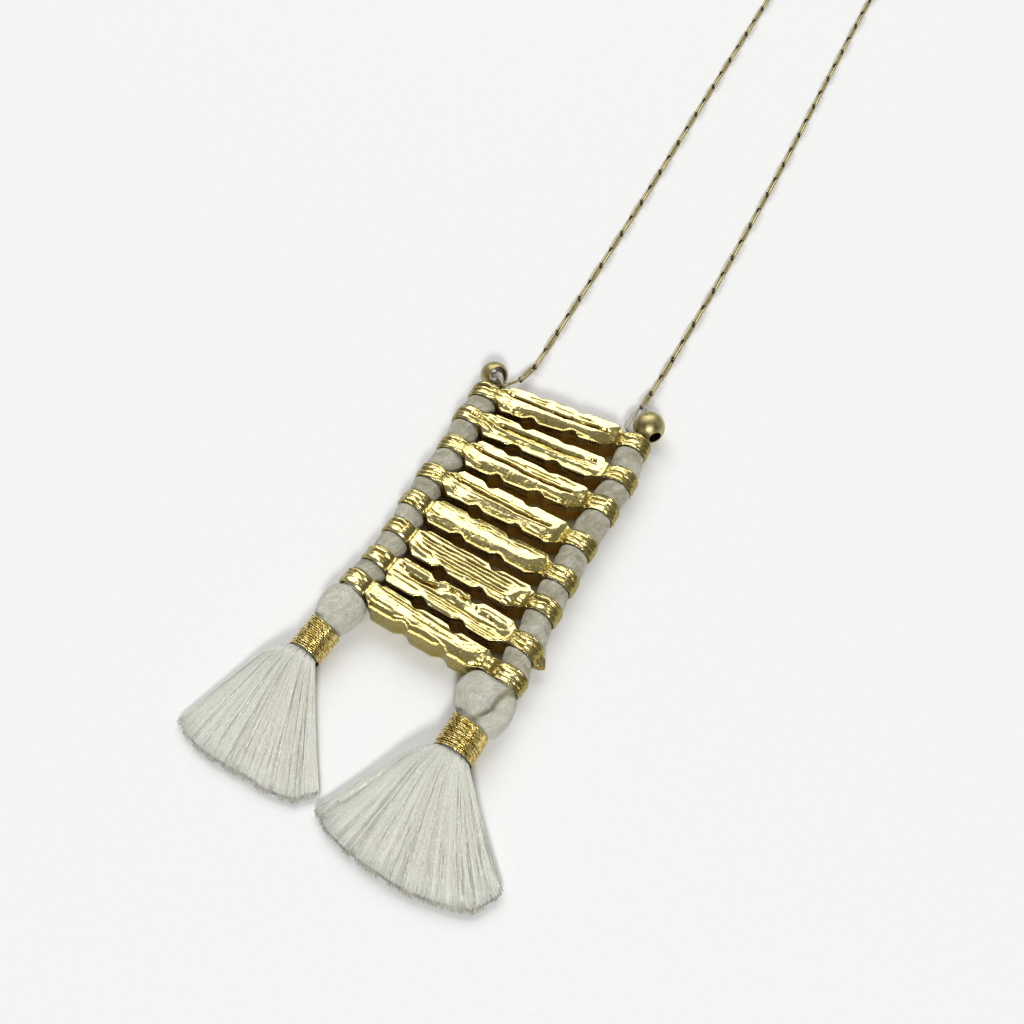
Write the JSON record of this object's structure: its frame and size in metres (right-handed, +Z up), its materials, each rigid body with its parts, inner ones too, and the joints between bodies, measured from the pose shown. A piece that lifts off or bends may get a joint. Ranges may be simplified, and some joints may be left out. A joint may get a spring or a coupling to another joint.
{
  "type": "pendant necklace",
  "caption": "Long pendant necklace lying flat: cast ridged bars strung like ladder rungs on thick cords that end in wrapped tassels, closed by a fine long-link chain.",
  "frame": {"origin": "middle of the whole necklace's bounding box in plan, on the surface it lies on", "axes": "+X along the bars, +Y from the tassels to the clasp, +Z up from the surface"},
  "size_m": [0.0711, 0.3876, 0.0065],
  "materials": {
    "cast_gold": "cast relief, gold plated and polished",
    "antique_brass": "satin, darkened",
    "cotton": "soft twisted yarn",
    "silk": "silky loose threads",
    "metallic_thread": "wound metallic thread"
  },
  "bodies": {
    "root": {"bar_1": "cast_gold", "bar_2": "cast_gold", "bar_3": "cast_gold", "bar_4": "cast_gold", "bar_5": "cast_gold", "bar_6": "cast_gold", "bar_7": "cast_gold", "bar_8": "cast_gold", "cord_left": "cotton", "cord_right": "cotton", "bead_left": "antique_brass", "bead_right": "antique_brass", "thread_left": "cotton", "thread_right": "cotton", "wrap_left": "metallic_thread", "wrap_right": "metallic_thread", "tassel_left": "silk", "tassel_right": "silk", "chain_left": "antique_brass", "chain_right": "antique_brass", "clasp": "antique_brass"}
  },
  "joints": []
}
